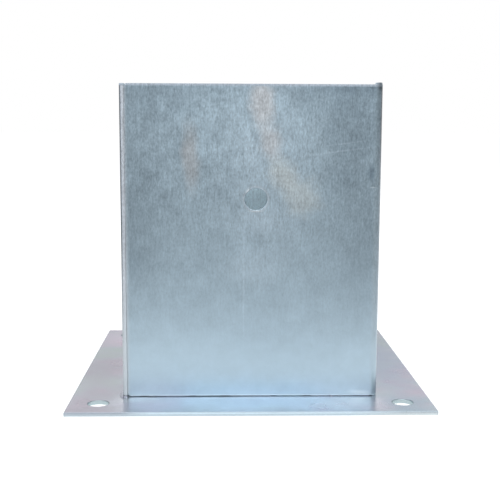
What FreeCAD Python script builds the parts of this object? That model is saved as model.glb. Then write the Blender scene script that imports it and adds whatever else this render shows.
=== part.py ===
import FreeCAD, Part
import math
import os

# Bolt-down base for a square timber post: a square sleeve, folded from two equal
# L-shaped sheets, stands on a flat square plate and is welded to it from inside.
# Frame: origin at the centre of the plate's underside, +Z up along the post,
# -Y to the front wall, +X to the right wall. All sizes are in millimetres.

# Sheet and plate
SHEET = 2.0
PLATE_SIDE = 175.0
PLATE_THICKNESS = 2.0
ANCHOR_HOLE_DIAMETER = 10.0
ANCHOR_HOLE_SPACING = 146.5

# Sleeve
SLEEVE_INSIDE = 121.0
SHELL_HEIGHT = 151.4
BEND_INNER_RADIUS = 1.5
SEAM_GAP = 0.1
BUTTED_CORNER_RADIUS = 1.7
LAPPING_CORNER_RADIUS = 0.5
FIXING_HOLE_DIAMETER = 10.5
FIXING_HOLE_FROM_BEND_FACE = 60.3
FIXING_HOLE_ABOVE_FOOT = 96.8

# The metal swells a little at both ends of the bend. The lower swelling is what
# the shell stands on, so the rest of its foot clears the plate by this much.
FOOT_GAP = 0.4
TOP_SWELL = 0.9
SWELL_CREST_HALF_WIDTH = 0.7
SWELL_HALF_WIDTH = 1.8

# Sheared and punched edges are slightly rounded on the outer side.
EDGE_ROUND = 0.3

# Welds
FOOT_WELD_LEG = 3.5
FOOT_WELD_LENGTH = 20.0
FOOT_WELD_PITCH = 40.0
FOOT_WELD_COUNT = 3
WELD_ROOT_DEPTH = 0.8
WELD_CROWN = 0.35
SEAM_WELD_LEG = 2.2
SEAM_WELD_CROWN = -0.4
SEAM_WELD_LENGTH = 14.0
SEAM_WELD_PITCH = 48.0
SEAM_WELD_COUNT = 3
RUN_THROUGH_RADIUS = 0.8
RUN_THROUGH_PROUD = 0.3
TACK_LEG = 1.3
TACK_LENGTH = 5.0
TACK_CROWN = 0.2

# Worked out from the above
HALF_INSIDE = SLEEVE_INSIDE / 2
HALF_OUTSIDE = HALF_INSIDE + SHEET
BEND_OUTER_RADIUS = BEND_INNER_RADIUS + SHEET
BEND_CENTRE = HALF_OUTSIDE - BEND_OUTER_RADIUS
FOOT_Z = PLATE_THICKNESS + FOOT_GAP
TOP_Z = FOOT_Z + SHELL_HEIGHT
FIXING_HOLE_X = HALF_OUTSIDE - FIXING_HOLE_FROM_BEND_FACE
FIXING_HOLE_Z = FOOT_Z + FIXING_HOLE_ABOVE_FOOT

OUT_DIR = "parts"
TOLERANCE = 1e-5
UP = FreeCAD.Vector(0, 0, 1)
ORIGIN = FreeCAD.Vector(0, 0, 0)


def vec(x, y, z=0.0):
    """A point or direction in the part's frame."""
    return FreeCAD.Vector(x, y, z)


def turned(shape, degrees):
    """A copy of the shape turned about the post's axis."""
    copy = shape.copy()
    copy.rotate(ORIGIN, UP, degrees)
    return copy


def line(start, end):
    """A straight edge."""
    return Part.makeLine(start, end)


def arc(start, middle, end):
    """A round edge through three points."""
    return Part.Arc(start, middle, end).toShape()


def face_of(edges):
    """A flat face bounded by edges given in order."""
    return Part.Face(Part.Wire(edges))


def edges_where(shape, test):
    """The edges of a shape whose middle point and direction pass a test."""
    found = []
    for edge in shape.Edges:
        middle = edge.valueAt((edge.FirstParameter + edge.LastParameter) / 2)
        if test(edge, middle):
            found.append(edge)
    return found


def is_straight(edge, axis):
    """True for a straight edge along the given axis."""
    if not isinstance(edge.Curve, (Part.Line, Part.LineSegment)):
        return False
    along = edge.tangentAt(edge.FirstParameter)
    return abs(abs(along.dot(axis)) - 1) < TOLERANCE


# ---------------------------------------------------------------- base plate

def anchor_hole_centres():
    """The four corners of the anchor pattern."""
    half = ANCHOR_HOLE_SPACING / 2
    centres = []
    for x in (-half, half):
        for y in (-half, half):
            centres.append(vec(x, y))
    return centres


def make_base_plate():
    """Square sheet with four punched holes and rounded upper edges."""
    half = PLATE_SIDE / 2
    plate = Part.makeBox(PLATE_SIDE, PLATE_SIDE, PLATE_THICKNESS, vec(-half, -half))
    for centre in anchor_hole_centres():
        hole = Part.makeCylinder(ANCHOR_HOLE_DIAMETER / 2, PLATE_THICKNESS, centre, UP)
        plate = plate.cut(hole)
    upper = edges_where(plate, lambda edge, middle: abs(middle.z - PLATE_THICKNESS) < TOLERANCE)
    return plate.makeFillet(EDGE_ROUND, upper)


# ------------------------------------------------------------- sleeve shells

def shell_section():
    """Flat L section of the front right shell, with its round bend."""
    seam_x = -HALF_INSIDE + SEAM_GAP
    diagonal = math.sqrt(0.5)
    centre = vec(BEND_CENTRE, -BEND_CENTRE)
    outward = vec(diagonal, -diagonal)
    outer_middle = centre + outward * BEND_OUTER_RADIUS
    inner_middle = centre + outward * BEND_INNER_RADIUS
    front_outer_end = vec(seam_x, -HALF_OUTSIDE)
    front_outer_bend = vec(BEND_CENTRE, -HALF_OUTSIDE)
    right_outer_bend = vec(HALF_OUTSIDE, -BEND_CENTRE)
    right_outer_end = vec(HALF_OUTSIDE, HALF_OUTSIDE)
    right_inner_end = vec(HALF_INSIDE, HALF_OUTSIDE)
    right_inner_bend = vec(HALF_INSIDE, -BEND_CENTRE)
    front_inner_bend = vec(BEND_CENTRE, -HALF_INSIDE)
    front_inner_end = vec(seam_x, -HALF_INSIDE)
    return face_of([
        line(front_outer_end, front_outer_bend),
        arc(front_outer_bend, outer_middle, right_outer_bend),
        line(right_outer_bend, right_outer_end),
        line(right_outer_end, right_inner_end),
        line(right_inner_end, right_inner_bend),
        arc(right_inner_bend, inner_middle, front_inner_bend),
        line(front_inner_bend, front_inner_end),
        line(front_inner_end, front_outer_end),
    ])


def swell_edges(base_z, rise):
    """The swelling's outline across the bend: a crest with an S-curve each side."""
    half_run = (SWELL_HALF_WIDTH - SWELL_CREST_HALF_WIDTH) / 2
    half_rise = rise / 2
    radius = (half_run ** 2 + half_rise ** 2) / (2 * abs(half_rise))
    half_turn = math.asin(half_run / radius) / 2
    step_along = radius * math.sin(half_turn)
    step_up = math.copysign(radius * (1 - math.cos(half_turn)), rise)
    edges = []
    for side in (-1, 1):
        outer = SWELL_HALF_WIDTH
        crest = SWELL_CREST_HALF_WIDTH
        foot = vec(side * outer, 0, base_z)
        low_middle = vec(side * (outer - step_along), 0, base_z + step_up)
        centre = vec(side * (outer - half_run), 0, base_z + half_rise)
        high_middle = vec(side * (crest + step_along), 0, base_z + rise - step_up)
        top = vec(side * crest, 0, base_z + rise)
        edges.append(arc(foot, low_middle, centre))
        edges.append(arc(centre, high_middle, top))
    edges.append(line(vec(-SWELL_CREST_HALF_WIDTH, 0, base_z + rise),
                      vec(SWELL_CREST_HALF_WIDTH, 0, base_z + rise)))
    return edges


def shell_envelope():
    """Prism that trims a shell top and bottom, seen along the bend's diagonal."""
    reach = 2 * HALF_OUTSIDE
    edges = swell_edges(TOP_Z, TOP_SWELL)
    edges += swell_edges(FOOT_Z, -FOOT_GAP)
    for z in (FOOT_Z, TOP_Z):
        for side in (-1, 1):
            edges.append(line(vec(side * SWELL_HALF_WIDTH, 0, z), vec(side * reach, 0, z)))
    for side in (-1, 1):
        edges.append(line(vec(side * reach, 0, FOOT_Z), vec(side * reach, 0, TOP_Z)))
    outline = Part.Face(Part.Wire(Part.__sortEdges__(edges)))
    outline.translate(vec(0, -reach))
    prism = outline.extrude(vec(0, 2 * reach))
    return turned(prism, 45)


def round_blank_corners(shell):
    """Round the sheet's corners: more at the front wall's end than at the right wall's."""
    def at_front_end(edge, middle):
        return is_straight(edge, vec(0, 1)) and middle.x < 0 and middle.y < 0

    def at_right_end(edge, middle):
        return is_straight(edge, vec(1, 0)) and middle.x > HALF_INSIDE and middle.y > 0

    shell = shell.makeFillet(BUTTED_CORNER_RADIUS, edges_where(shell, at_front_end))
    return shell.makeFillet(LAPPING_CORNER_RADIUS, edges_where(shell, at_right_end))


def on_outer_surface(point):
    """True for a point on the outer side of the front right shell."""
    from_bend_x = point.x - BEND_CENTRE
    from_bend_y = point.y + BEND_CENTRE
    if from_bend_x <= TOLERANCE:
        return abs(point.y + HALF_OUTSIDE) < TOLERANCE
    if from_bend_y >= -TOLERANCE:
        return abs(point.x - HALF_OUTSIDE) < TOLERANCE
    return abs(math.hypot(from_bend_x, from_bend_y) - BEND_OUTER_RADIUS) < TOLERANCE


def round_outer_rim(shell):
    """Round the sheared edge all round the outer side of the sheet."""
    def at_rim(edge, middle):
        span = edge.LastParameter - edge.FirstParameter
        samples = [edge.valueAt(edge.FirstParameter + span * part) for part in (0.1, 0.5, 0.9)]
        between_flat_and_bend = is_straight(edge, UP) and on_bend_line(middle)
        return all(on_outer_surface(point) for point in samples) and not between_flat_and_bend

    return shell.makeFillet(EDGE_ROUND, edges_where(shell, at_rim))


def on_bend_line(point):
    """True where a flat wall runs smoothly into the bend."""
    return abs(point.x - BEND_CENTRE) < TOLERANCE or abs(point.y + BEND_CENTRE) < TOLERANCE


def punch_fixing_hole(shell):
    """Punch the hole in the front wall and round its outer rim."""
    start = vec(FIXING_HOLE_X, -HALF_OUTSIDE, FIXING_HOLE_Z)
    hole = Part.makeCylinder(FIXING_HOLE_DIAMETER / 2, SHEET, start, vec(0, 1))
    punched = shell.cut(hole)

    def at_rim(edge, middle):
        if not isinstance(edge.Curve, Part.Circle):
            return False
        return edge.Curve.Center.isEqual(start, TOLERANCE)

    return punched.makeFillet(EDGE_ROUND, edges_where(punched, at_rim))


def make_front_right_shell():
    """One folded sheet: front wall, bend and right wall."""
    blank = shell_section()
    blank.translate(vec(0, 0, PLATE_THICKNESS))
    blank = blank.extrude(vec(0, 0, TOP_Z + TOP_SWELL - PLATE_THICKNESS))
    shell = blank.common(shell_envelope())
    shell = round_blank_corners(shell)
    shell = round_outer_rim(shell)
    return punch_fixing_hole(shell)


# --------------------------------------------------------------------- welds

def fillet_section(leg, crown):
    """Section of a weld in a corner at the origin, towards +Y and +Z."""
    bulge = leg / 2 + crown * math.sqrt(0.5)
    corner = vec(0, 0, 0)
    on_floor = vec(0, leg, 0)
    on_wall = vec(0, 0, leg)
    middle = vec(0, bulge, bulge)
    return face_of([line(corner, on_floor), arc(on_floor, middle, on_wall), line(on_wall, corner)])


def fillet_bead(leg, crown, length, round_start=True):
    """A bead along X, centred on the origin, with round tapering ends."""
    section = fillet_section(leg, crown)
    section.translate(vec(-length / 2, 0, 0))
    bead = section.extrude(vec(length, 0, 0))
    ends = []
    if round_start:
        ends.append(section.revolve(vec(-length / 2, 0, 0), UP, 90))
    section.translate(vec(length, 0, 0))
    ends.append(section.revolve(vec(length / 2, 0, 0), UP, -90))
    return bead.fuse(ends).removeSplitter()


def foot_weld_places():
    """Where the stitches sit along a wall."""
    first = -FOOT_WELD_PITCH * (FOOT_WELD_COUNT - 1) / 2
    return [first + FOOT_WELD_PITCH * i for i in range(FOOT_WELD_COUNT)]


def foot_stitch(x):
    """One stitch inside the front wall, with its root under the wall's foot."""
    leg = FOOT_WELD_LEG + FOOT_GAP
    bead = fillet_bead(leg, WELD_CROWN, FOOT_WELD_LENGTH)
    bead.translate(vec(x, -HALF_INSIDE, PLATE_THICKNESS))
    root_corner = vec(x - FOOT_WELD_LENGTH / 2, -HALF_INSIDE - WELD_ROOT_DEPTH, PLATE_THICKNESS)
    root = Part.makeBox(FOOT_WELD_LENGTH, WELD_ROOT_DEPTH, FOOT_GAP, root_corner)
    return bead.fuse(root).removeSplitter()


def run_through(x):
    """A thread of weld that has run under the front wall and shows outside."""
    width = 2 * RUN_THROUGH_RADIUS
    nose_y = -HALF_OUTSIDE - RUN_THROUGH_PROUD + RUN_THROUGH_RADIUS
    depth = -HALF_INSIDE - nose_y
    corner = vec(x - RUN_THROUGH_RADIUS, nose_y, PLATE_THICKNESS)
    thread = Part.makeBox(width, depth, FOOT_GAP, corner)
    nose = Part.makeCylinder(RUN_THROUGH_RADIUS, FOOT_GAP, vec(x, nose_y, PLATE_THICKNESS), UP)
    return thread.fuse(nose).removeSplitter()


def make_foot_weld(has_run_through):
    """All the stitches inside the front wall."""
    places = foot_weld_places()
    stitches = [foot_stitch(x) for x in places]
    if has_run_through:
        stitches[-1] = stitches[-1].fuse(run_through(places[-1])).removeSplitter()
    return Part.makeCompound(stitches)


def make_seam_weld():
    """Stitches up the inside of the front left corner, where the shells meet."""
    first = (FOOT_Z + TOP_Z) / 2 - SEAM_WELD_PITCH * (SEAM_WELD_COUNT - 1) / 2
    stitches = []
    for i in range(SEAM_WELD_COUNT):
        bead = fillet_bead(SEAM_WELD_LEG, SEAM_WELD_CROWN, SEAM_WELD_LENGTH)
        bead.rotate(ORIGIN, vec(1, 1, 1), -120)
        bead.translate(vec(-HALF_INSIDE, -HALF_INSIDE, first + SEAM_WELD_PITCH * i))
        stitches.append(bead)
    return Part.makeCompound(stitches)


def make_corner_tack():
    """Lump of weld outside the foot of the front left corner, and under the sheet's end."""
    bead = fillet_bead(TACK_LEG + FOOT_GAP, TACK_CROWN, TACK_LENGTH, round_start=False)
    bead.rotate(ORIGIN, UP, 90)
    bead.translate(vec(-HALF_OUTSIDE, TACK_LENGTH / 2 - HALF_OUTSIDE, PLATE_THICKNESS))
    root = Part.makeBox(SHEET, TACK_LENGTH, FOOT_GAP, vec(-HALF_OUTSIDE, -HALF_OUTSIDE, PLATE_THICKNESS))
    return bead.fuse(root).removeSplitter()


# --------------------------------------------------------------------- build

def build_nodes():
    """Every piece by name, in place."""
    shell = make_front_right_shell()
    plain_weld = make_foot_weld(has_run_through=False)
    seam_weld = make_seam_weld()
    tack = make_corner_tack()
    return {
        "base_plate": make_base_plate(),
        "shell_front_right": shell,
        "shell_back_left": turned(shell, 180),
        "foot_weld_front": make_foot_weld(has_run_through=True),
        "foot_weld_right": turned(plain_weld, 90),
        "foot_weld_back": turned(plain_weld, 180),
        "foot_weld_left": turned(plain_weld, 270),
        "seam_weld_front_left": seam_weld,
        "seam_weld_back_right": turned(seam_weld, 180),
        "corner_tack_front_left": tack,
        "corner_tack_back_right": turned(tack, 180),
    }


os.makedirs(OUT_DIR, exist_ok=True)
for name, shape in build_nodes().items():
    shape.exportStep(OUT_DIR + "/" + name + ".step")
    print(name, "solids", len(shape.Solids), "valid", shape.isValid(), "mm3", round(shape.Volume, 1))
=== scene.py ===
import logging
import math
import random
from dataclasses import dataclass, field
from enum import Enum
from typing import Any, Iterator, Sequence

import bpy
from mathutils import Matrix, Quaternion, Vector


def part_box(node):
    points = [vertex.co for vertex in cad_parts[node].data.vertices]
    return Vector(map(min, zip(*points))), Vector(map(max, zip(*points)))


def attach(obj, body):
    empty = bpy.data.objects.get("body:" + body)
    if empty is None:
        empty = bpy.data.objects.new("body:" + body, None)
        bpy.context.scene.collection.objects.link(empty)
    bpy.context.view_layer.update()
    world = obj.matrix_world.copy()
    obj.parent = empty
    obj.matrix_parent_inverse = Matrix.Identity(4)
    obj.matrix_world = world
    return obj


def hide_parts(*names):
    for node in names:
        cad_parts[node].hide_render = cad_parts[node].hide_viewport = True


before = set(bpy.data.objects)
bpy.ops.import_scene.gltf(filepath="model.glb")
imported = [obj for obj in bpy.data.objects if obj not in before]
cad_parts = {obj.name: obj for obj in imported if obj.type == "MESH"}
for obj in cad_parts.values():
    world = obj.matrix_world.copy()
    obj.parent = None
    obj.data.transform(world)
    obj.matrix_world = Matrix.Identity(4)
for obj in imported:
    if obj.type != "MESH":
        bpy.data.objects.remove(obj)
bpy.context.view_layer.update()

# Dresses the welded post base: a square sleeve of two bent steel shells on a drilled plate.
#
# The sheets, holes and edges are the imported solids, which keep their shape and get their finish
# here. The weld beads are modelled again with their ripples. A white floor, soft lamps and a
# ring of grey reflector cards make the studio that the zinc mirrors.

LOG = logging.getLogger("post_base")
MM = 0.001
WHITE = "#FFFFFF"

# Where the faces lie, in millimetres from the post's axis and from the footing.
PLATE_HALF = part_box("base_plate")[1].x / MM
PLATE_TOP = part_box("base_plate")[1].z / MM
SLEEVE_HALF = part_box("shell_front_right")[1].x / MM
SHEET = 2.0
SLEEVE_INSIDE = SLEEVE_HALF - SHEET

Tree = bpy.types.NodeTree
Node = bpy.types.Node
Socket = bpy.types.NodeSocket
Mesh = bpy.types.Object
Colour = tuple[float, float, float, float]
Place = tuple[float, float, float]
Pair = tuple[float, float]

# What feeds an input, the stops of a graded colour, coats of colour with how much of each
# shows, and packed beads with the meshes that stand for them.
Feed = Node | Socket
Stops = tuple[tuple[float, str | float], ...]
Coats = Sequence[tuple[Feed, Colour | Feed]]
Welded = Iterator[tuple[str, list[Mesh]]]


# ------------------------------------------------------------------ colours and nodes


def linear(hex_code: str) -> Colour:
    """Turns an sRGB hex colour into the linear colour that a socket takes.

    Args:
        hex_code: six hex digits after a hash.

    Returns:
        Red, green, blue and alpha, linear.
    """
    channels = [int(hex_code[i:i + 2], 16) / 255 for i in (1, 3, 5)]
    red, green, blue = (
        c / 12.92 if c <= 0.04045 else ((c + 0.055) / 1.055) ** 2.4 for c in channels
    )
    return (red, green, blue, 1.0)


def add_node(
    tree: Tree, kind: str, inputs: dict[str | int, Any] | None = None, stops: Stops = (),
    **settings: Any,
) -> Node:
    """Adds a node, sets its options, and fills its inputs with values or links.

    Args:
        tree: the node tree that gets the node.
        kind: the shader node's type, without its prefix.
        inputs: for each input, by name or number, a value, or the socket or the node that
            feeds it. A node feeds it from the first output that its options leave in use.
        stops: for a node that grades a colour, the place of each stop, from 0 to 1, and its
            hex colour or its linear grey, lowest first.
        **settings: the node's own options, such as an operation or a blend type.

    Returns:
        The new node.
    """
    node = tree.nodes.new(f"ShaderNode{kind}")
    for name, value in settings.items():
        setattr(node, name, value)
    for key, value in (inputs or {}).items():
        if isinstance(value, Node):
            value = next(output for output in value.outputs if output.enabled)
        if isinstance(value, Socket):
            tree.links.new(value, node.inputs[key])
        else:
            node.inputs[key].default_value = value
    for _ in stops[2:]:
        node.color_ramp.elements.new(1.0)
    for number, (place, tone) in enumerate(stops):
        stop = node.color_ramp.elements[number]
        stop.position = place
        stop.color = linear(tone) if isinstance(tone, str) else (tone, tone, tone, 1.0)
    return node


def new_material(name: str) -> tuple[bpy.types.Material, Tree]:
    """Makes a material with an empty node tree.

    Args:
        name: the finish's name.

    Returns:
        The material and its tree.
    """
    material = bpy.data.materials.new(name)
    material.use_nodes = True
    material.node_tree.nodes.clear()
    return material, material.node_tree


def new_zinc(name: str) -> tuple[bpy.types.Material, Tree, Feed]:
    """Starts a zinc finish, whose patterns are laid out in millimetres on the part.

    Args:
        name: the finish's name.

    Returns:
        The material, its tree and the place on the part.
    """
    material, tree = new_material(name)
    place = add_node(tree, "TexCoord")
    mm = add_node(
        tree, "VectorMath", {0: place.outputs["Object"], "Scale": 1 / MM}, operation="SCALE",
    )
    return material, tree, mm


def lay_coats(tree: Tree, film: Colour | Feed, coats: Coats) -> Feed:
    """Lays coats over a film's colour.

    Args:
        tree: the material's tree.
        film: the colour below them.
        coats: how much of each coat shows, from 0 to 1, and its colour, lowest first.

    Returns:
        The colour on top.
    """
    for share, coat in coats:
        film = add_node(tree, "Mix", {"Factor": share, 6: film, 7: coat}, data_type="RGBA")
    return film


# ------------------------------------------------------------------ finishes


class Face(Enum):
    """A flat face that stains are laid on."""

    FRONT_WALL = "front wall"
    PLATE_TOP = "top of the plate"


class Tint(Enum):
    """The colours of the stains: those that a blue passivate film on zinc takes where it is
    uneven, and those of painted highlights, reflections and shade.
    """

    PALE = "#C4D7E5"
    SKY = "#C8DCEE"
    DULL = "#7E8F9B"
    BARE = "#6A7B88"
    STRAW = "#CFCDCE"
    TAN = "#C0B2AA"
    HAZE = "#D3D6D1"
    LILAC = "#CBBFD2"
    SMOKE = "#9997A3"
    SLATE = "#8F9DB4"
    SEA = "#86A0B0"
    RUBBED = "#E8F2F8"


@dataclass(frozen=True)
class Stain:
    """A place where the passivate film is thicker, thinner or worn, or where a highlight, a
    reflection or shade is painted.

    Places and reaches are in millimetres across the face, and up the wall or towards the back
    of the plate. The film's colour moves towards the tint by the strength, and the stain's
    border is ragged.
    """

    across: float
    along: float
    half_width: float
    half_length: float
    tint: Tint
    strength: float
    turn_deg: float = 0.0
    soft: float = 1.0

    def mapping(self, face: Face) -> dict[str, Place]:
        """Gives the mapping that makes the stain a unit circle.

        Args:
            face: the face that the stain lies on.

        Returns:
            The location, rotation and scale of a texture mapping.
        """
        flat = 1000.0
        turn = math.radians(self.turn_deg)
        if face is Face.FRONT_WALL:
            return {
                "Location": (self.across, 0.0, self.along),
                "Rotation": (0.0, -turn, 0.0),
                "Scale": (self.half_width, flat, self.half_length),
            }
        return {
            "Location": (self.across, self.along, 0.0),
            "Rotation": (0.0, 0.0, turn),
            "Scale": (self.half_width, self.half_length, flat),
        }


# The size of a stain's ragged border in millimetres, and the shares of its reach over which a
# soft one fades, outwards and inwards.
RAGGED_SIZE = 9.0
FADE_OUT = 0.25
FADE_IN = 0.9


def lay_stains(
    tree: Tree, mm: Feed, film: Feed, stains: Sequence[Stain], face: Face,
    mask: Feed | float = 1.0,
) -> Feed:
    """Lays stains over a film's colour.

    Args:
        tree: the material's tree.
        mm: the place on the sheet, in millimetres.
        film: the clean film's colour.
        stains: the stains, lowest first.
        face: the face that they lie on.
        mask: how much of them shows, from 0 to 1.

    Returns:
        The stained film's colour.
    """
    ragged = add_node(
        tree, "TexNoise",
        {"Vector": mm, "Scale": 1 / RAGGED_SIZE, "Detail": 3.0, "Roughness": 0.6},
    )
    shift = add_node(
        tree, "VectorMath", {0: ragged.outputs["Color"], 1: (0.5, 0.5, 0.5)}, operation="SUBTRACT",
    )
    coats = []
    for stain in stains:
        reach = min(stain.half_width, stain.half_length)
        pushed = add_node(
            tree, "VectorMath",
            {0: shift, 1: (reach, reach, reach), 2: mm},
            operation="MULTIPLY_ADD",
        )
        local = add_node(
            tree, "Mapping", {"Vector": pushed, **stain.mapping(face)}, vector_type="TEXTURE",
        )
        away = add_node(tree, "VectorMath", {0: local}, operation="LENGTH")
        inside = add_node(
            tree, "MapRange",
            {"Value": away, "From Min": 1.0 + FADE_OUT * stain.soft,
             "From Max": 1.0 - FADE_IN * stain.soft, "To Max": stain.strength},
            interpolation_type="SMOOTHSTEP",
        )
        amount = add_node(tree, "Math", {0: inside, 1: mask}, operation="MULTIPLY")
        coats.append((amount, linear(stain.tint.value)))
    return lay_coats(tree, film, coats)


SLEEVE_STAINS: tuple[Stain, ...] = (
    # broad zones: paler up the middle and along the foot, and darker at the sides; the darker band
    # along the top of the wall is painted shade
    Stain(6, 110, 26, 52, Tint.PALE, 0.30),
    Stain(58, 92, 26, 60, Tint.DULL, 0.42),
    Stain(-58, 105, 24, 50, Tint.DULL, 0.45),
    # painted shade: a darker band along the top of the front wall
    Stain(0, 162, 90, 20, Tint.DULL, 0.60),
    Stain(-50, 150, 30, 20, Tint.DULL, 0.62),
    Stain(50, 158, 30, 24, Tint.BARE, 0.70),
    Stain(48, 132, 18, 16, Tint.DULL, 0.56, 0, 0.5),
    Stain(44, 111, 13, 10, Tint.DULL, 0.45),
    Stain(-33, 123, 7, 6, Tint.DULL, 0.50),
    Stain(24, 146, 12, 9, Tint.DULL, 0.30),
    Stain(-33, 142, 7, 6, Tint.DULL, 0.35),
    Stain(-12, 103, 7, 6, Tint.DULL, 0.35),
    Stain(-57, 70, 7, 11, Tint.DULL, 0.45),
    Stain(18, 30, 42, 14, Tint.DULL, 0.12),
    Stain(0, 1, 90, 7, Tint.PALE, 0.50),
    # tan, straw and hazy runs, where the bath drained down the wall
    Stain(-29, 119, 5, 19, Tint.TAN, 0.30, 2, 0.8),
    Stain(5, 144, 7, 13, Tint.STRAW, 0.55, 4, 0.7),
    Stain(9, 126, 7, 10, Tint.STRAW, 0.50, 10, 0.8),
    Stain(15, 111, 8, 10, Tint.HAZE, 0.42, 25, 0.8),
    Stain(24, 100, 11, 11, Tint.HAZE, 0.34, 30, 0.8),
    # pale clouds round the hole
    Stain(0, 122, 6, 10, Tint.PALE, 0.30),
    Stain(4, 90, 12, 8, Tint.PALE, 0.35),
    Stain(0, 66, 18, 9, Tint.PALE, 0.30),
    # handling marks: scratches, a knock on the folded corner with a pale line below it, pale marks
    # at the hole, and a worn spot at the foot
    Stain(-3.6, 62, 0.6, 32, Tint.PALE, 0.35),
    Stain(37, 121.5, 21, 0.6, Tint.PALE, 0.28, 7.5),
    Stain(45, 126, 12, 0.5, Tint.PALE, 0.20, 7.5),
    Stain(59, 111.5, 4, 5, Tint.BARE, 0.80),
    Stain(59, 105, 2.2, 0.35, Tint.RUBBED, 0.50),
    # painted highlights: a glint at the hole's top left and a bright arc along its bottom edge
    Stain(-1.6, 103.1, 1.4, 0.6, Tint.RUBBED, 0.60, 45, 0.7),
    Stain(2.2, 93.5, 3.6, 0.5, Tint.RUBBED, 0.60),
    Stain(54, 3.8, 7, 1.4, Tint.RUBBED, 0.40),
)

PLATE_STAINS: tuple[Stain, ...] = (
    # drifts of thicker film beside the sleeve
    Stain(-77, 72, 18, 34, Tint.LILAC, 0.55),
    Stain(-74, -70, 22, 36, Tint.SMOKE, 0.70),
    Stain(-80, -14, 16, 44, Tint.SMOKE, 0.70),
    Stain(-80, -87, 15, 9, Tint.SMOKE, 0.60),
    Stain(74, 10, 20, 92, Tint.SLATE, 0.72),
    Stain(74, -77, 16, 20, Tint.SEA, 0.70),
    Stain(72, -89, 22, 9, Tint.SEA, 0.50),
    # painted reflection: the sleeve's front wall mirrored in the plate in front of it, pale blue
    # with lilac, brighter and slate patches
    Stain(0, -73, 64, 21, Tint.SKY, 0.95),
    Stain(-48, -75, 18, 13, Tint.LILAC, 0.50),
    Stain(-56, -67, 11, 8, Tint.RUBBED, 0.40),
    Stain(46, -74, 18, 14, Tint.RUBBED, 0.40),
    Stain(0, -70, 24, 10, Tint.SLATE, 0.20),
    # under the front wall: a pale line just in front of its foot; in the gap under the wall,
    # painted shade on the left and painted light on the right
    Stain(0, -63.6, 51, 1.8, Tint.RUBBED, 0.60),
    Stain(-19, -61.2, 31, 1.4, Tint.BARE, 0.80, 0, 0.6),
    Stain(36, -61.2, 25, 1.4, Tint.RUBBED, 0.95, 0, 0.1),
)


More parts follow.
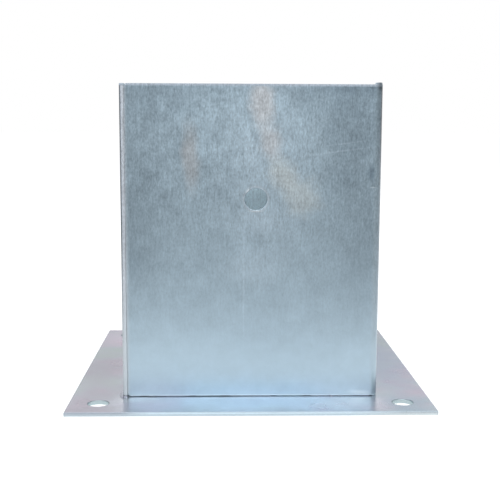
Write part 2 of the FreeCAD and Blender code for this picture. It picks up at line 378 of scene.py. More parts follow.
@dataclass(frozen=True)
class SleeveZinc:
    """Bright zinc on cold-rolled sheet, dipped in a blue passivate.

    Real material: cold-rolled mild steel, electroplated with zinc, then blue passivated. The
    rolled sheet's upright grain shows through the thin zinc, and the film leaves cloudy pale and
    dull places. Painted light and shade are laid on as well: shade in a darker band along the top
    of the front wall and on the bends, darkening towards their top; a pale blue highlight along
    the foot's rounded bottom edge and a pale line along the corners' edges; and a dark shadow at
    the top of the folded corner. The cut edges at the seams are graded across their width, and
    change from one row of tones near the foot to another higher up.

    A span says where a zone starts and where it is full, in millimetres: up from the footing,
    in from the sleeve's outside, or out from a hole's centre. A fleck or a streak of the grain
    is given by its width and its height.
    """

    upper: str = "#A5B9C6"
    lower: str = "#A9BDCA"
    blue_span: Pair = (5.0, 60.0)
    # painted shade: the bends darken towards their top
    bend: Stops = ((0.0, "#A9BBC6"), (0.30, "#ABBCC7"), (0.60, "#9FB1BC"), (1.0, "#8495A0"))
    bend_span: Pair = (4.5, 2.5)
    bend_share: float = 0.85
    # painted highlight: a pale line along the corners' edges through the middle heights, darker at
    # the top
    arris_highlight: Stops = ((0.16, "#A8B9C4"), (0.30, "#C8D6DE"), (0.68, "#C8D6DE"), (0.82, "#9E999B"))
    arris_span: Pair = (1.2, 0.3)
    arris_share: float = 0.8
    cut_high: Stops = (
        (0.10, "#5D646B"), (0.28, "#B2BAC4"), (0.45, "#A0A7AF"), (0.55, "#BBC3CB"),
        (0.72, "#86929B"),
    )
    cut_low: Stops = ((0.0, "#B6BEC4"), (0.56, "#C8D2D8"), (0.68, "#A9B6BE"), (0.85, "#B6C5CF"))
    cut_depth: float = 0.6
    cut_width: float = 3.6
    cut_fade: float = 2.4
    cut_change: Pair = (20.0, 82.0)
    hole_place: Pair = (2.2, 99.2)
    hole_span: Pair = (5.0, 7.0)
    hole_rings: tuple[tuple[str, Stops], ...] = (
        ("#5F6E78", ((0.20, 0.50), (0.26, 0.0))),
        ("#C9CDD4", ((0.28, 0.0), (0.38, 0.32), (0.60, 0.18), (1.0, 0.0))),
    )
    rim: str = "#98A4B0"
    rim_span: Pair = (152.5, 153.0)
    # painted highlight: pale blue along the foot's rounded bottom edge
    foot: str = "#DCEEFC"
    foot_span: Pair = (3.1, 2.7)
    inside: str = "#CEDEE5"
    inside_span: Pair = (1.5, 1.9)
    # painted shadow: dark at the top of the folded corner
    fold_top_shadow: str = "#5C666D"
    fold_shadow_rise: Pair = (150.4, 152.0)
    fold_shadow_reach: Pair = (3.3, 2.1)
    fold_shadow_share: float = 0.75
    height: float = 155.0
    front_span: Pair = (1.5, 0.5)
    fleck: Pair = (0.72, 1.5)
    streak: Pair = (1.2, 7.0)
    streak_share: float = 0.44
    grain_span: Pair = (22.0, 110.0)
    grain_depth: float = 1.4
    grain_at_foot: float = 0.02
    grain_bump_mm: float = 0.012
    cloud_size: float = 9.0
    cloud_depth: float = 0.26
    cloud_bump_mm: float = 0.25
    metallic: float = 0.85
    roughness: float = 0.33
    roughness_swing: float = 0.04
    matt_metallic: float = 0.20
    matt_roughness: float = 0.55
    anisotropy: float = 0.35
    stains: tuple[Stain, ...] = SLEEVE_STAINS

    def build(self) -> bpy.types.Material:
        """Makes the sleeve's material.

        Returns:
            The material, for the slots of both shells.
        """
        material, tree, mm = new_zinc("zinc_sleeve_blue_passivated")
        film, matt = self._zones(tree, mm, self._film(tree, mm))
        clouds = add_node(
            tree, "TexNoise",
            {"Vector": mm, "Scale": 1 / self.cloud_size, "Detail": 4.0, "Roughness": 0.6},
        )
        grain = self._grain(tree, mm)
        light = self._light(tree, mm, grain, clouds)
        colour = add_node(tree, "VectorMath", {0: film, "Scale": light}, operation="SCALE")
        polished = add_node(
            tree, "MapRange",
            {"Value": clouds, "From Min": 0.3, "From Max": 0.7,
             "To Min": self.roughness - self.roughness_swing,
             "To Max": self.roughness + self.roughness_swing},
        )
        rough = add_node(tree, "Mix", {"Factor": matt, 2: polished, 3: self.matt_roughness})
        metallic = add_node(
            tree, "MapRange",
            {"Value": matt, "To Min": self.metallic, "To Max": self.matt_metallic},
        )
        fine = add_node(
            tree, "Bump", {"Height": grain, "Strength": 0.25, "Distance": self.grain_bump_mm * MM},
        )
        waves = add_node(
            tree, "Bump",
            {"Height": clouds, "Strength": 0.5, "Distance": self.cloud_bump_mm * MM,
             "Normal": fine},
        )
        tangent = add_node(tree, "Tangent", direction_type="RADIAL", axis="Z")
        shader = add_node(
            tree, "BsdfPrincipled",
            {"Base Color": colour, "Metallic": metallic,
             "Roughness": rough, "Anisotropic": self.anisotropy,
             "Normal": waves, "Tangent": tangent},
        )
        add_node(tree, "OutputMaterial", {"Surface": shader})
        return material

    def _film(self, tree: Tree, mm: Feed) -> Feed:
        """Makes the film's own colour and lays the front wall's stains on it.

        Args:
            tree: the material's tree.
            mm: the place on the sleeve, in millimetres.

        Returns:
            The stained film's colour.
        """
        axes = add_node(tree, "SeparateXYZ", {0: mm})
        start, full = self.blue_span
        height = add_node(
            tree, "MapRange",
            {"Value": axes.outputs["Z"], "From Min": start, "From Max": full},
            interpolation_type="SMOOTHSTEP",
        )
        film = lay_coats(tree, linear(self.lower), [(height, linear(self.upper))])
        start, full = self.front_span
        front = add_node(
            tree, "MapRange",
            {"Value": axes.outputs["Y"], "From Min": start - SLEEVE_HALF,
             "From Max": full - SLEEVE_HALF},
        )
        return lay_stains(tree, mm, film, self.stains, Face.FRONT_WALL, front)

    def _grain(self, tree: Tree, mm: Feed) -> Feed:
        """Makes the upright grain: short flecks with longer streaks drawn through them.

        Args:
            tree: the material's tree.
            mm: the place on the sleeve, in millimetres.

        Returns:
            The grain's height, about 0.5.
        """
        patterns = []
        for (width, height), detail, rough in ((self.fleck, 1.0, 0.6), (self.streak, 2.0, 0.65)):
            drawn = add_node(
                tree, "VectorMath", {0: mm, 1: (1 / width, 1 / width, 1 / height)},
                operation="MULTIPLY",
            )
            patterns.append(add_node(
                tree, "TexNoise",
                {"Vector": drawn, "Scale": 1.0, "Detail": detail, "Roughness": rough},
            ))
        return add_node(tree, "Mix", {"Factor": self.streak_share, 2: patterns[0], 3: patterns[1]})

    def _light(self, tree: Tree, mm: Feed, grain: Feed, clouds: Feed) -> Feed:
        """Works out how much the grain and the clouds lighten the film.

        Args:
            tree: the material's tree.
            mm: the place on the sleeve, in millimetres.
            grain: the grain's height.
            clouds: the clouds' height.

        Returns:
            The factor, about 1.
        """
        axes = add_node(tree, "SeparateXYZ", {0: mm})
        start, full = self.grain_span
        grain_depth = add_node(
            tree, "MapRange",
            {"Value": axes.outputs["Z"], "From Min": start, "From Max": full,
             "To Min": self.grain_at_foot * self.grain_depth, "To Max": self.grain_depth},
        )
        light = 1.0
        for pattern, depth in ((grain, grain_depth), (clouds, self.cloud_depth)):
            above = add_node(tree, "Math", {0: pattern, 1: 0.5}, operation="SUBTRACT")
            light = add_node(
                tree, "Math", {0: above, 1: depth, 2: light}, operation="MULTIPLY_ADD",
            )
        return light

    def _zones(self, tree: Tree, mm: Feed, film: Feed) -> tuple[Feed, Feed]:
        """Coats the bends with painted shade towards their top, the corners' edges and the foot
        with painted highlights, the top of the folded corner with a painted shadow, the cut edges,
        the holes' rims, the top rim and the inside of the sleeve.

        Args:
            tree: the material's tree.
            mm: the place on the sleeve, in millimetres.
            film: the outer film's colour.

        Returns:
            The colour with those zones, and how matt the zinc is, from 0 to 1.
        """
        zone = self._masks(tree, mm)
        graded = []
        for share, stops in (
            ("rise", self.bend), ("rise", self.arris_highlight), ("strip", self.cut_low),
            ("strip", self.cut_high),
        ):
            graded.append(add_node(tree, "ValToRGB", {"Fac": zone[share]}, stops))
        bend, arris_highlight, cut_low, cut_high = graded
        # painted light: the foot's pale blue and the corners' pale line are highlights; the bends'
        # darkening and the dark top of the folded corner are shade
        film = lay_coats(tree, film, [
            (zone["foot"], linear(self.foot)),
            (zone["bend"], bend),
            (zone["arris_highlight"], arris_highlight),
            (zone["cut"], lay_coats(tree, cut_low, [(zone["change"], cut_high)])),
            *self._hole_rims(tree, mm),
            (zone["rim"], linear(self.rim)),
            (zone["fold_top_shadow"], linear(self.fold_top_shadow)),
            (zone["inside"], linear(self.inside)),
        ])
        return film, zone["matt"]

    def _masks(self, tree: Tree, mm: Feed) -> dict[str, Feed]:
        """Works out how much of each zone shows at a place.

        Args:
            tree: the material's tree.
            mm: the place on the sleeve, in millimetres.

        Returns:
            The share from 0 to 1 for each zone, by its name.
        """
        axes = add_node(tree, "SeparateXYZ", {0: mm})
        height = axes.outputs["Z"]
        folded = add_node(tree, "VectorMath", {0: mm}, operation="ABSOLUTE")
        inward = add_node(
            tree, "VectorMath",
            {0: (SLEEVE_HALF, SLEEVE_HALF, 0.0), 1: folded},
            operation="SUBTRACT",
        )
        inwards = add_node(tree, "SeparateXYZ", {0: inward})
        side, front = inwards.outputs["X"], inwards.outputs["Y"]
        diagonal = add_node(
            tree, "Math", {0: axes.outputs["X"], 1: axes.outputs["Y"]}, operation="MULTIPLY",
        )
        zone = {}
        for name, first, second, operation in (
            ("depth", side, front, "MINIMUM"),
            ("corner", side, front, "MAXIMUM"),
            ("facing", front, self.cut_depth, "LESS_THAN"),
            ("seam", diagonal, 0.0, "GREATER_THAN"),
            ("fold", diagonal, 0.0, "LESS_THAN"),
        ):
            zone[name] = add_node(tree, "Math", {0: first, 1: second}, operation=operation)
        # The bands at the foot and along the corners' edges place painted highlights; the bends
        # and the top of the folded corner, painted shade.
        for name, place, (start, full), share in (
            ("rise", height, (0.0, self.height), 1.0),
            ("foot", height, self.foot_span, 1.0),
            ("rim", height, self.rim_span, 1.0),
            ("change", height, self.cut_change, 1.0),
            ("fold_shadow_height", height, self.fold_shadow_rise, 1.0),
            ("fold_shadow_corner", zone["corner"], self.fold_shadow_reach, self.fold_shadow_share),
            ("bend", zone["corner"], self.bend_span, self.bend_share),
            ("beside", zone["corner"], self.bend_span, 1.0),
            ("arris_band", side, self.arris_span, self.arris_share),
            ("strip", side, (0.0, self.cut_width), 1.0),
            ("near", side, (self.cut_width, self.cut_fade), 1.0),
            ("inside", zone["depth"], self.inside_span, 1.0),
        ):
            zone[name] = add_node(
                tree, "MapRange",
                {"Value": place, "From Min": start, "From Max": full, "To Max": share},
                interpolation_type="SMOOTHSTEP" if name == "bend" else "LINEAR",
            )
        for name, first, second, operation in (
            ("arris_highlight", "arris_band", "beside", "MULTIPLY"),
            ("seam_front", "facing", "seam", "MULTIPLY"),
            ("cut", "seam_front", "near", "MULTIPLY"),
            ("fold_shadow_patch", "fold_shadow_height", "fold_shadow_corner", "MULTIPLY"),
            ("fold_top_shadow", "fold_shadow_patch", "fold", "MULTIPLY"),
            ("ends", "rim", "foot", "MAXIMUM"),
            ("edges", "ends", "cut", "MAXIMUM"),
            ("matt", "inside", "edges", "MAXIMUM"),
        ):
            zone[name] = add_node(
                tree, "Math", {0: zone[first], 1: zone[second]}, operation=operation,
            )
        return zone

    def _hole_rims(self, tree: Tree, mm: Feed) -> list[tuple[Feed, Colour]]:
        """Makes a dark ring at each fixing hole's edge and a pale ring round it.

        Args:
            tree: the material's tree.
            mm: the place on the sleeve, in millimetres.

        Returns:
            How much of each ring shows, and its colour.
        """
        across, height = self.hole_place
        axes = add_node(tree, "SeparateXYZ", {0: mm})
        facing = add_node(tree, "Math", {0: axes.outputs["Y"]}, operation="SIGN")
        sideways = add_node(
            tree, "Math", {0: facing, 1: across, 2: axes.outputs["X"]}, operation="MULTIPLY_ADD",
        )
        upward = add_node(tree, "Math", {0: axes.outputs["Z"], 1: height}, operation="SUBTRACT")
        offset = add_node(tree, "CombineXYZ", {"X": sideways, "Y": upward})
        radius = add_node(tree, "VectorMath", {0: offset}, operation="LENGTH")
        start, full = self.hole_span
        share = add_node(tree, "MapRange", {"Value": radius, "From Min": start, "From Max": full})
        rings = []
        for tint, amounts in self.hole_rings:
            ring = add_node(tree, "ValToRGB", {"Fac": share}, amounts)
            rings.append((ring, linear(tint)))
        return rings


@dataclass(frozen=True)
class PlateZinc:
    """Bright zinc on the flat base plate, with a faint lilac bloom.

    Real material: cold-rolled mild steel plate, electroplated with zinc and blue passivated.
    The film lies a little thicker than on the walls and turns lilac, with pink and green
    drifts, and the sheet is smooth, so it mirrors the sleeve at a low angle. The pale blue patch
    in front of the sleeve is a painted reflection of its front wall, and the gap under that wall
    carries painted shade on the left and painted light on the right.

    A span says where a zone starts and where it is full, in millimetres: from a hole's centre,
    in from the plate's sheared edge, or across the plate.
    """

    bloom: Stops = ((0.36, "#A2AFB1"), (0.50, "#A9AFB9"), (0.64, "#B3AAB8"))
    drift_size: float = 30.0
    grain_size: float = 0.9
    grain_depth: float = 0.25
    grain_bump_mm: float = 0.01
    metallic: float = 0.75
    roughness: float = 0.25
    roughness_swing: float = 0.03
    anisotropy: float = 0.2
    hole_centre: float = 73.25
    hole_span: Pair = (4.5, 6.5)
    hole_ring: Stops = ((0.28, 0.0), (0.33, 0.8), (0.40, 0.8), (0.48, 0.0))
    rim: str = "#6A7C80"
    drilled: str = "#B0BFC3"
    drilled_span: Pair = (5.06, 5.02)
    cut: Stops = ((0.45, "#B4C3CC"), (0.55, "#C5D7E2"), (0.80, "#C5D7E2"), (0.88, "#A5B4BF"))
    cut_span: Pair = (0.35, 0.05)
    front_depth: float = 0.5
    front_ends: tuple[tuple[Pair, Stops], ...] = (
        ((-48.0, -61.0), ((0.10, "#B6C2C9"), (0.70, "#9BA4AE"))),
        ((46.0, 72.0), ((0.10, "#CAD2D5"), (0.50, "#B7C0C5"), (0.86, "#A0ACB4"))),
    )
    stains: tuple[Stain, ...] = PLATE_STAINS

    def build(self) -> bpy.types.Material:
        """Makes the plate's material.

        Returns:
            The material, for the plate's slot.
        """
        material, tree, mm = new_zinc("zinc_plate_blue_passivated")
        drift = add_node(
            tree, "TexNoise",
            {"Vector": mm, "Scale": 1 / self.drift_size, "Detail": 3.0, "Roughness": 0.55},
        )
        bloom = add_node(tree, "ValToRGB", {"Fac": drift}, self.bloom)
        film = lay_stains(tree, mm, bloom, self.stains, Face.PLATE_TOP)
        film = self._edges(tree, mm, film)
        grain = add_node(
            tree, "TexNoise",
            {"Vector": mm, "Scale": 1 / self.grain_size, "Detail": 2.0, "Roughness": 0.6},
        )
        light = add_node(
            tree, "MapRange",
            {"Value": grain, "To Min": 1 - self.grain_depth / 2,
             "To Max": 1 + self.grain_depth / 2},
        )
        colour = add_node(tree, "VectorMath", {0: film, "Scale": light}, operation="SCALE")
        polished = add_node(
            tree, "MapRange",
            {"Value": drift, "From Min": 0.3, "From Max": 0.7,
             "To Min": self.roughness - self.roughness_swing,
             "To Max": self.roughness + self.roughness_swing},
        )
        bump = add_node(
            tree, "Bump", {"Height": grain, "Strength": 0.2, "Distance": self.grain_bump_mm * MM},
        )
        shader = add_node(
            tree, "BsdfPrincipled",
            {"Base Color": colour, "Metallic": self.metallic,
             "Roughness": polished, "Anisotropic": self.anisotropy,
             "Normal": bump},
        )
        add_node(tree, "OutputMaterial", {"Surface": shader})
        return material

    def _edges(self, tree: Tree, mm: Feed, film: Feed) -> Feed:
        """Coats the drilled walls, their rims and the sheared outer edge.

        Args:
            tree: the material's tree.
            mm: the place on the plate, in millimetres.
            film: the top's colour.

        Returns:
            The colour with the edges.
        """
        centre = self.hole_centre
        folded = add_node(tree, "VectorMath", {0: mm}, operation="ABSOLUTE")
        beside = add_node(
            tree, "VectorMath", {0: folded, 1: (centre, centre, 0.0)}, operation="SUBTRACT",
        )
        flat = add_node(tree, "VectorMath", {0: beside, 1: (1.0, 1.0, 0.0)}, operation="MULTIPLY")
        radius = add_node(tree, "VectorMath", {0: flat}, operation="LENGTH")
        place = add_node(tree, "SeparateXYZ", {0: mm})
        axes = add_node(tree, "SeparateXYZ", {0: folded})
        outer = add_node(
            tree, "Math", {0: axes.outputs["X"], 1: axes.outputs["Y"]}, operation="MAXIMUM",
        )
        zone = []
        for where, (start, full) in (
            (radius, self.hole_span),
            (radius, self.drilled_span),
            (outer, [PLATE_HALF - reach for reach in self.cut_span]),
            (place.outputs["Z"], (0.0, PLATE_TOP)),
        ):
            zone.append(add_node(
                tree, "MapRange", {"Value": where, "From Min": start, "From Max": full},
            ))
        ring, drilled, sheared, rise = zone
        dark_ring = add_node(tree, "ValToRGB", {"Fac": ring}, self.hole_ring)
        front = add_node(
            tree, "Math", {0: place.outputs["Y"], 1: self.front_depth - PLATE_HALF},
            operation="LESS_THAN",
        )
        ends = []
        for (start, full), stops in self.front_ends:
            near = add_node(
                tree, "MapRange",
                {"Value": place.outputs["X"], "From Min": start, "From Max": full},
            )
            share = add_node(tree, "Math", {0: near, 1: front}, operation="MULTIPLY")
            end = add_node(tree, "ValToRGB", {"Fac": rise}, stops)
            ends.append((share, end))
        middle = add_node(tree, "ValToRGB", {"Fac": rise}, self.cut)
        return lay_coats(tree, film, [
            (dark_ring, linear(self.rim)),
            (drilled, linear(self.drilled)),
            (sheared, lay_coats(tree, middle, ends)),
        ])


@dataclass(frozen=True)
class WeldZinc:
    """Dull zinc on weld metal.

    Real material: arc-welded mild steel, plated together with the sheets. Its rippled, pitted
    skin takes the zinc unevenly, so it is greyer and rougher than the rolled sheet, with sooty
    patches.
    """

    film: str = "#C6C9D4"
    soot: str = "#9297A1"
    soot_size: float = 5.0
    soot_share: float = 0.45
    pit_size: float = 0.7
    pit_bump_mm: float = 0.08
    roughness: float = 0.42
    roughness_swing: float = 0.07

    def build(self) -> bpy.types.Material:
        """Makes the weld beads' material.

        Returns:
            The material, for the beads' slots.
        """
        material, tree, mm = new_zinc("zinc_weld_dull")
        pits = add_node(
            tree, "TexNoise",
            {"Vector": mm, "Scale": 1 / self.pit_size, "Detail": 3.0, "Roughness": 0.6},
        )
        patches = add_node(
            tree, "TexNoise",
            {"Vector": mm, "Scale": 1 / self.soot_size, "Detail": 2.0, "Roughness": 0.5},
        )
        soot = add_node(
            tree, "MapRange",
            {"Value": patches, "From Min": 0.40, "From Max": 0.70, "To Max": self.soot_share},
            interpolation_type="SMOOTHSTEP",
        )
        colour = lay_coats(tree, linear(self.film), [(soot, linear(self.soot))])
        rough = add_node(
            tree, "MapRange",
            {"Value": pits, "From Min": 0.3, "From Max": 0.7,
             "To Min": self.roughness - self.roughness_swing,
             "To Max": self.roughness + self.roughness_swing},
        )
        bump = add_node(
            tree, "Bump", {"Height": pits, "Strength": 0.5, "Distance": self.pit_bump_mm * MM},
        )
        shader = add_node(
            tree, "BsdfPrincipled",
            {"Base Color": colour, "Metallic": 1.0, "Roughness": rough, "Normal": bump},
        )
        add_node(tree, "OutputMaterial", {"Surface": shader})
        return material


# ------------------------------------------------------------------ the object


def select(parts: Sequence[Mesh] = ()) -> None:
    """Selects nothing but these objects and makes the first of them active.

    Args:
        parts: the objects, or none before something new is added.
    """
    bpy.ops.object.select_all(action="DESELECT")
    for part in parts:
        part.select_set(True)
    if parts:
        bpy.context.view_layer.objects.active = parts[0]


def join(parts: Sequence[Mesh]) -> Mesh:
    """Joins meshes into the first of them.

    Args:
        parts: the meshes.

    Returns:
        The first one, selected, active and holding all of them.
    """
    select(parts)
    bpy.ops.object.join()
    return parts[0]


def settle() -> Mesh:
    """Applies the active object's transforms, so that its place is in its mesh.

    Returns:
        The object.
    """
    bpy.ops.object.transform_apply(location=True, rotation=True, scale=True)
    return bpy.context.object


def copy_to(mesh: Mesh, place_mm: Vector, quarters: int, upright: bool = False) -> Mesh:
    """Copies a mesh to a place round the sleeve.

    Args:
        mesh: what is copied.
        place_mm: where its origin goes, before the quarter turns.
        quarters: quarter turns about the post's axis, anticlockwise from above.
        upright: stands a bead that lies along X up in the front left corner.

    Returns:
        The copy, with its own mesh and its transforms applied.
    """
    select([mesh])
    bpy.ops.object.duplicate(linked=False)
    stand = Quaternion((1.0, 1.0, 1.0), math.radians(-120.0)) if upright else Quaternion()
    turn = Matrix.Rotation(quarters * math.pi / 2, 4, "Z")
    placed = turn @ Matrix.Translation(place_mm * MM) @ stand.to_matrix().to_4x4()
    bpy.context.object.matrix_world = placed
    return settle()


@dataclass
class SheetMetal:
    """The plate and the two shells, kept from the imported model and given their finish."""

    sleeve_finish: SleeveZinc = field(default_factory=SleeveZinc)
    plate_finish: PlateZinc = field(default_factory=PlateZinc)
    shells: tuple[str, ...] = ("shell_front_right", "shell_back_left")
    plates: tuple[str, ...] = ("base_plate",)

    def dress(self) -> None:
        """Puts the zinc finishes on the plate and the shells."""
        for finish, names in ((self.sleeve_finish, self.shells), (self.plate_finish, self.plates)):
            material = finish.build()
            for name in names:
                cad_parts[name].material_slots[0].material = material
                LOG.info("%s finished as %s", name, material.name)


@dataclass(frozen=True)
class Bead:
    """A stitch of weld in a square corner, built up from the puddles that froze one by one.

    The corner runs along X and the bead fills it towards +Y and +Z. Sizes are in millimetres.
    The pitch is uneven by a share of itself.
    """

    leg: float
    crown: float
    puddles: int
    pitch: float
    ripple: float
    seed: int
    lean_deg: float = 22.0
    uneven: float = 0.12
    uneven_pitch: float = 0.2
    spare: float = 0.8
    voxel: float = 0.16

    def puddle(self) -> tuple[float, float, float]:
        """Works out the round puddle whose arc makes the leg and the crown.

        Returns:
            How far its centre lies behind both walls, its radius and its half thickness.
        """
        rise = self.leg / math.sqrt(2) + self.crown
        behind = (self.leg ** 2 - rise ** 2) / (2 * (math.sqrt(2) * rise - self.leg))
        radius = rise + math.sqrt(2) * behind
        thick = self.pitch / 2 / math.sqrt(2 * self.ripple / radius)
        return behind, radius, thick

    def model(self) -> Mesh:
        """Models the stitch.

        Returns:
            The bead's mesh, closed, with the corner's line through the origin.
        """
        behind, radius, thick = self.puddle()
        lean = math.radians(self.lean_deg)
        reach = math.hypot(radius * math.cos(lean), thick * math.sin(lean))
        slip = (radius ** 2 - thick ** 2) * math.sin(lean) * math.cos(lean) / reach
        out = -behind + (radius - reach) / math.sqrt(2)
        select()
        bpy.ops.mesh.primitive_uv_sphere_add(segments=64, ring_count=32, radius=1.0)
        puddle = bpy.context.object
        puddle.scale = (thick * MM, radius * MM, radius * MM)
        puddle.rotation_mode = "QUATERNION"
        puddle.rotation_quaternion = Quaternion((0.0, 1.0, -1.0), lean)
        puddle.location = Vector((-slip, out, out)) * MM
        settle()
        self._cut(puddle, -self.spare)
        rng = random.Random(self.seed)
        row = [puddle]
        for step in range(1, self.puddles):
            select([puddle])
            lift = self.uneven * rng.uniform(-1, 1)
            along = self.pitch * (step + rng.uniform(-self.uneven_pitch, self.uneven_pitch))
            bpy.ops.object.duplicate(linked=False)
            bpy.ops.transform.translate(value=Vector((along, lift, lift)) * MM)
            row.append(bpy.context.object)
        bead = join(row)
        first = -self.pitch * (self.puddles - 1) / 2
        bpy.ops.transform.translate(value=(first * MM, 0, 0))
        settle()
        melt = bead.modifiers.new("melt", "REMESH")
        melt.mode = "VOXEL"
        melt.voxel_size = self.voxel * MM
        bpy.ops.object.modifier_apply(modifier=melt.name)
        self._cut(bead, 0.0)
        return bead

    @staticmethod
    def _cut(bead: Mesh, level: float) -> None:
        """Cuts the mesh off along both walls and closes it.

        Args:
            bead: the mesh, which becomes the active object.
            level: where the cuts lie, in millimetres in front of each wall.
        """
        select([bead])
        bpy.ops.object.mode_set(mode="EDIT")
        for normal in ((0, 1, 0), (0, 0, 1)):
            bpy.ops.mesh.select_all(action="SELECT")
            bpy.ops.mesh.bisect(
                plane_co=Vector(normal) * level * MM, plane_no=normal, use_fill=True,
                clear_inner=True,
            )
        bpy.ops.object.mode_set(mode="OBJECT")


@dataclass
class Welds:
    """The stitches along the sleeve's foot and up its seams, and the tacks outside the seams.

    Sizes are in millimetres. A root is the flat tongue of weld that has run in under a wall,
    given by its length and its depth.
    """

    finish: WeldZinc = field(default_factory=WeldZinc)
    foot: Bead = Bead(leg=3.9, crown=0.35, puddles=15, pitch=1.5, ripple=0.16, seed=5)
    seam: Bead = Bead(leg=2.2, crown=0.12, puddles=12, pitch=1.2, ripple=0.10, seed=8, uneven=0.06)
    tack: Bead = Bead(leg=1.7, crown=0.24, puddles=4, pitch=1.2, ripple=0.10, seed=3, uneven=0.10)
    foot_pitch: float = 40.0
    foot_gap: float = 0.4
    gap_fill: float = 0.98
    foot_root: Pair = (20.0, 0.8)
    run_on: float = 9.0
    tack_root: Pair = (6.2, 2.0)
    root_overlap: float = 0.5
    seam_pitch: float = 48.0
    tack_middle: float = 2.9
    thread_half_length: float = 1.3
    thread_radius: float = 0.8
    thread_start: float = 1.0
    smooth_deg: float = 50.0

    def build(self) -> None:
        """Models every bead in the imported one's stead."""
        material = self.finish.build()
        for bead, lay in (
            (self.foot, self._foot_welds), (self.seam, self._seam_welds), (self.tack, self._tacks),
        ):
            stitch = bead.model()
            for node, parts in lay(stitch):
                self._hand_over(parts, node, material)
            self._clear(stitch)

    def _foot_welds(self, stitch: Mesh) -> Welded:
        """Lays the stitches along the foot of each wall, with their roots.

        Args:
            stitch: the stitch that is copied.

        Yields:
            The name of each packed bead and the meshes that stand for it.
        """
        places = [
            Vector((step * self.foot_pitch, -SLEEVE_INSIDE, PLATE_TOP)) for step in (-1, 0, 1)
        ]
        for quarters, wall in enumerate(("front", "right", "back", "left")):
            parts = [copy_to(stitch, place, quarters) for place in places]
            roots = [(place, self.foot_root) for place in places]
            if wall == "front":
                last, (length, depth) = roots.pop()
                shift = Vector((self.run_on / 2, 0.0, 0.0))
                roots.append((last + shift, (length + self.run_on, depth)))
                parts.append(self._thread(Vector((last.x, -SLEEVE_HALF, PLATE_TOP))))
            parts += [self._root(place, quarters, size) for place, size in roots]
            yield f"foot_weld_{wall}", parts

    def _seam_welds(self, stitch: Mesh) -> Welded:
        """Stands the stitches up inside both seams.

        Args:
            stitch: the stitch that is copied.

        Yields:
            The name of each packed bead and the meshes that stand for it.
        """
        low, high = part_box("seam_weld_front_left")
        middle = (low.z + high.z) / 2 / MM
        places = [
            Vector((-SLEEVE_INSIDE, -SLEEVE_INSIDE, middle + step * self.seam_pitch))
            for step in (-1, 0, 1)
        ]
        for quarters, corner in ((0, "front_left"), (2, "back_right")):
            parts = [copy_to(stitch, place, quarters, upright=True) for place in places]
            yield f"seam_weld_{corner}", parts

    def _tacks(self, lump: Mesh) -> Welded:
        """Lays the tacks outside the seams at the sleeve's foot, with their roots.

        Args:
            lump: the tack that is copied.

        Yields:
            The name of each packed bead and the meshes that stand for it.
        """
        place = Vector((-SLEEVE_HALF + self.tack_middle, SLEEVE_HALF, PLATE_TOP))
        for quarters, corner in ((1, "front_left"), (3, "back_right")):
            tack = copy_to(lump, place, quarters)
            root = self._root(place, quarters, self.tack_root)
            yield f"corner_tack_{corner}", [tack, root]

    def _root(self, place: Vector, quarters: int, size: Pair) -> Mesh:
        """Models the flat tongue of weld that has run in under a wall.

        Args:
            place: the middle of the stitch, at the foot of the wall's face, in millimetres.
            quarters: quarter turns about the post's axis.
            size: the tongue's length along the wall and its depth under it.

        Returns:
            The tongue.
        """
        length, depth = size
        width = depth + self.root_overlap
        select()
        bpy.ops.mesh.primitive_cube_add(size=1.0)
        bpy.context.object.scale = Vector((length, width, self.gap_fill * self.foot_gap)) * MM
        tongue = settle()
        middle = Vector((0.0, self.root_overlap - width / 2, self.foot_gap / 2))
        placed = copy_to(tongue, place + middle, quarters)
        self._clear(tongue)
        return placed

    def _thread(self, place: Vector) -> Mesh:
        """Models the thread of weld that has run right under the front wall.

        Args:
            place: the foot of the wall's outer side, in millimetres.

        Returns:
            The thread, with its round nose outside.
        """
        select()
        bpy.ops.mesh.primitive_cylinder_add(vertices=32, radius=1.0, depth=1.0)
        thread = bpy.context.object
        size = (self.thread_radius, self.thread_half_length, self.gap_fill * self.foot_gap)
        thread.scale = Vector(size) * MM
        thread.location = (place + Vector((0.0, self.thread_start, self.foot_gap / 2))) * MM
        return settle()

    def _hand_over(self, parts: Sequence[Mesh], node: str, material: bpy.types.Material) -> None:
        """Joins a bead's meshes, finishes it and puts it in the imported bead's stead.

        Args:
            parts: the meshes.
            node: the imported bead's name.
            material: the beads' finish.
        """
        bead = join(parts)
        bead.name = f"{node}_rippled"
        bpy.ops.object.mode_set(mode="EDIT")
        bpy.ops.mesh.select_all(action="SELECT")
        bpy.ops.mesh.normals_make_consistent(inside=False)
        bpy.ops.object.mode_set(mode="OBJECT")
        bpy.ops.object.shade_smooth_by_angle(angle=math.radians(self.smooth_deg))
        bead.data.materials.clear()
        bead.data.materials.append(material)
        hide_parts(node)
        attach(bead, "root")
        LOG.info("%s modelled with %d faces", bead.name, len(bead.data.polygons))

    @staticmethod
    def _clear(mesh: Mesh) -> None:
        """Removes a mesh that was only there to be copied."""
        bpy.data.objects.remove(mesh, do_unlink=True)


# ------------------------------------------------------------------ the studio


@dataclass(frozen=True)
class SoftLamp:
    """A square or long soft lamp: its place, its size and how bright its face is."""

    name: str
    place: Place
    aim: Place
    width: float
    height: float
    face_brightness: float

    def build(self) -> None:
        """Hangs the lamp, unseen by the camera."""
        data = bpy.data.lights.new(self.name, "AREA")
        data.shape = "RECTANGLE"
        data.size = self.width
        data.size_y = self.height
        data.energy = self.face_brightness * math.pi * self.width * self.height
        lamp = bpy.data.objects.new(self.name, data)
        place = Vector(self.place)
        turn = (Vector(self.aim) - place).to_track_quat("-Z", "Y")
        lamp.matrix_world = Matrix.Translation(place) @ turn.to_matrix().to_4x4()
        lamp.visible_camera = False
        bpy.context.collection.objects.link(lamp)
        LOG.info("%s hung", self.name)


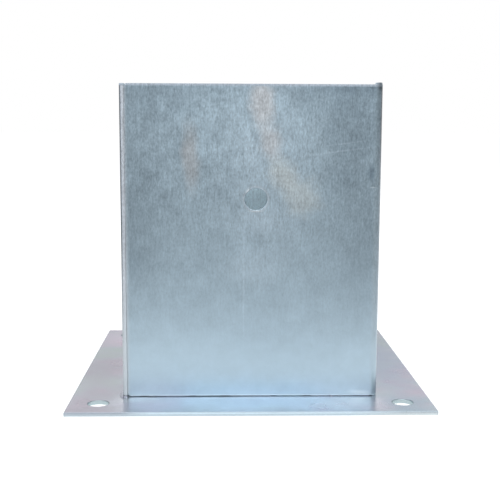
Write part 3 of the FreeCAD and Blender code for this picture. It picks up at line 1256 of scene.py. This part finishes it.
@dataclass
class Studio:
    """A white floor under soft lamps, in a ring of grey reflector cards.

    The floor and the world are white to the eye. The cards only show in the bright metal and
    give it something grey to mirror, as flags do in a studio. They are darker at the sides.
    Sizes are in metres. A card ring is its radius and its height, and a tone is the sine of
    the angle above the horizon, seen from the sleeve, and the grey there.
    """

    floor_half: float = 15.0
    floor_colour: str = "#E6E7E8"
    floor_lift: float = 0.42
    card_sides: int = 96
    card_rings: tuple[Pair, ...] = (
        (0.19, 0.0015), (0.30, 0.002), (0.50, 0.003), (0.80, 0.030), (1.20, 0.14), (1.50, 0.40),
        (1.60, 0.90),
    )
    card_tones: tuple[Pair, ...] = (
        (-0.37, 1.0), (-0.27, 0.82), (-0.18, 0.58), (-0.06, 0.46), (0.06, 0.38), (0.14, 0.38),
        (0.19, 1.25), (0.60, 1.25),
    )
    side_tones: tuple[Pair, ...] = (
        (-0.37, 1.0), (-0.27, 0.84), (-0.20, 0.70), (-0.13, 0.66), (-0.06, 0.46), (0.06, 0.42),
        (0.20, 0.45), (0.60, 0.90),
    )
    card_eye_height: float = 0.08
    card_level: float = 1.4
    world_light: float = 0.75
    lamps: tuple[SoftLamp, ...] = (
        SoftLamp("overhead_softbox", (0.0, -0.1, 1.5), (0.0, 0.0, 0.1), 1.6, 1.6, 1.06),
        SoftLamp("front_softbox", (0.0, -0.95, 0.56), (0.0, 0.0, 0.1), 1.4, 0.52, 1.7),
    )

    def build(self) -> None:
        """Makes the floor, the cards, the lamps and the world."""
        self._floor()
        self._cards()
        for lamp in self.lamps:
            lamp.build()
        self._world()

    @staticmethod
    def _seen(tree: Tree) -> Feed:
        """Tells rays that see a surface, straight or mirrored, from rays that gather light.

        Args:
            tree: the tree that gets the nodes.

        Returns:
            A socket that is 1 for camera, glossy and transmission rays, and 0 for the rest.
        """
        rays = add_node(tree, "LightPath")
        seen = rays.outputs["Is Camera Ray"]
        for name in ("Is Glossy Ray", "Is Transmission Ray"):
            seen = add_node(
                tree, "Math", {0: seen, 1: rays.outputs[name]}, operation="ADD", use_clamp=True,
            )
        return seen

    def _floor(self) -> None:
        """Lays the floor, which keeps the object's shadow but is lifted to white for the eye."""
        select()
        bpy.ops.mesh.primitive_plane_add(size=2 * self.floor_half, location=(0, 0, 0))
        floor = settle()
        floor.name = "floor"
        material, tree = new_material("floor_white")
        lift = add_node(
            tree, "Math", {0: self._seen(tree), 1: self.floor_lift}, operation="MULTIPLY",
        )
        matt = add_node(tree, "BsdfDiffuse", {"Color": linear(self.floor_colour)})
        glow = add_node(tree, "Emission", {"Color": linear(WHITE), "Strength": lift})
        both = add_node(tree, "AddShader", {0: matt, 1: glow})
        add_node(tree, "OutputMaterial", {"Surface": both})
        floor.data.materials.append(material)
        LOG.info("floor laid")

    def _cards(self) -> None:
        """Stands the ring of cards round the object."""
        select()
        radius, height = self.card_rings[0]
        bpy.ops.mesh.primitive_circle_add(
            vertices=self.card_sides, radius=radius, location=(0, 0, height),
        )
        cards = settle()
        cards.name = "reflector_cards"
        bpy.ops.object.mode_set(mode="EDIT")
        for wider, higher in self.card_rings[1:]:
            bpy.ops.mesh.extrude_region_move(
                TRANSFORM_OT_translate={"value": (0, 0, higher - height)},
            )
            grow = wider / radius
            bpy.ops.transform.resize(value=(grow, grow, 1), center_override=(0, 0, higher))
            radius, height = wider, higher
        bpy.ops.object.mode_set(mode="OBJECT")
        cards.data.materials.append(self._card_grey())
        cards.visible_camera = False
        cards.visible_diffuse = False
        cards.visible_shadow = False
        LOG.info("cards stood in %d rings", len(self.card_rings))

    def _card_grey(self) -> bpy.types.Material:
        """Makes the cards' glow, graded from their foot to their top and round to the sides.

        Returns:
            The material.
        """
        material, tree = new_material("card_grey")
        place = add_node(tree, "TexCoord")
        seen = add_node(
            tree, "VectorMath",
            {0: place.outputs["Object"], 1: (0.0, 0.0, self.card_eye_height)},
            operation="SUBTRACT",
        )
        ray = add_node(tree, "VectorMath", {0: seen}, operation="NORMALIZE")
        axes = add_node(tree, "SeparateXYZ", {0: ray})
        sideways = add_node(
            tree, "Math", {0: axes.outputs["X"], 1: axes.outputs["X"]}, operation="MULTIPLY",
        )
        graded = []
        for tones in (self.card_tones, self.side_tones):
            lowest, highest = tones[0][0], tones[-1][0]
            rise = add_node(
                tree, "MapRange",
                {"Value": axes.outputs["Z"], "From Min": lowest, "From Max": highest},
            )
            stops = tuple(
                ((sine - lowest) / (highest - lowest), grey / self.card_level)
                for sine, grey in tones
            )
            graded.append(add_node(tree, "ValToRGB", {"Fac": rise}, stops))
        tone = add_node(
            tree, "Mix", {"Factor": sideways, 6: graded[0], 7: graded[1]}, data_type="RGBA",
        )
        glow = add_node(tree, "Emission", {"Color": tone, "Strength": self.card_level})
        add_node(tree, "OutputMaterial", {"Surface": glow})
        return material

    def _world(self) -> None:
        """Makes the world, white where it is seen and a little dimmer as a light."""
        world = bpy.data.worlds.new("white_studio")
        bpy.context.scene.world = world
        world.use_nodes = True
        tree = world.node_tree
        tree.nodes.clear()
        level = add_node(
            tree, "MapRange",
            {"Value": self._seen(tree), "To Min": self.world_light, "To Max": 1.0},
        )
        sky = add_node(tree, "Background", {"Color": linear(WHITE), "Strength": level})
        add_node(tree, "OutputWorld", {"Surface": sky})
        LOG.info("%s made", world.name)


@dataclass
class StudioCamera:
    """The camera, in front of the sleeve at almost the height of its rim."""

    place_mm: Place = (-12.664, -506.442, 134.3)
    yaw_deg: float = 1.565
    pitch_deg: float = 7.64
    roll_deg: float = 0.234
    lens_mm: float = 66.892
    sensor_mm: float = 36.0
    nearest: float = 0.01
    farthest: float = 100.0

    def build(self) -> None:
        """Makes the camera and gives it to the scene."""
        data = bpy.data.cameras.new("studio_camera")
        data.lens = self.lens_mm
        data.sensor_width = self.sensor_mm
        data.clip_start = self.nearest
        data.clip_end = self.farthest
        camera = bpy.data.objects.new("studio_camera", data)
        yaw, pitch, roll = (
            math.radians(angle) for angle in (self.yaw_deg, self.pitch_deg, self.roll_deg)
        )
        ahead = Vector((
            math.sin(yaw) * math.cos(pitch), math.cos(yaw) * math.cos(pitch), -math.sin(pitch),
        ))
        level = Vector((math.cos(yaw), -math.sin(yaw), 0.0))
        top = level.cross(ahead)
        right = level * math.cos(roll) + top * math.sin(roll)
        top = top * math.cos(roll) - level * math.sin(roll)
        turn = Matrix((right, top, -ahead)).transposed()
        camera.matrix_world = Matrix.Translation(Vector(self.place_mm) * MM) @ turn.to_4x4()
        bpy.context.collection.objects.link(camera)
        bpy.context.scene.camera = camera
        LOG.info("%s placed", camera.name)


def main() -> None:
    """Dresses the object, part by part, and builds the studio round it."""
    logging.basicConfig(level=logging.INFO, format="%(name)s: %(message)s")
    bpy.context.scene.view_settings.view_transform = "Standard"
    SheetMetal().dress()
    Welds().build()
    Studio().build()
    StudioCamera().build()


if __name__ == "__main__":
    main()
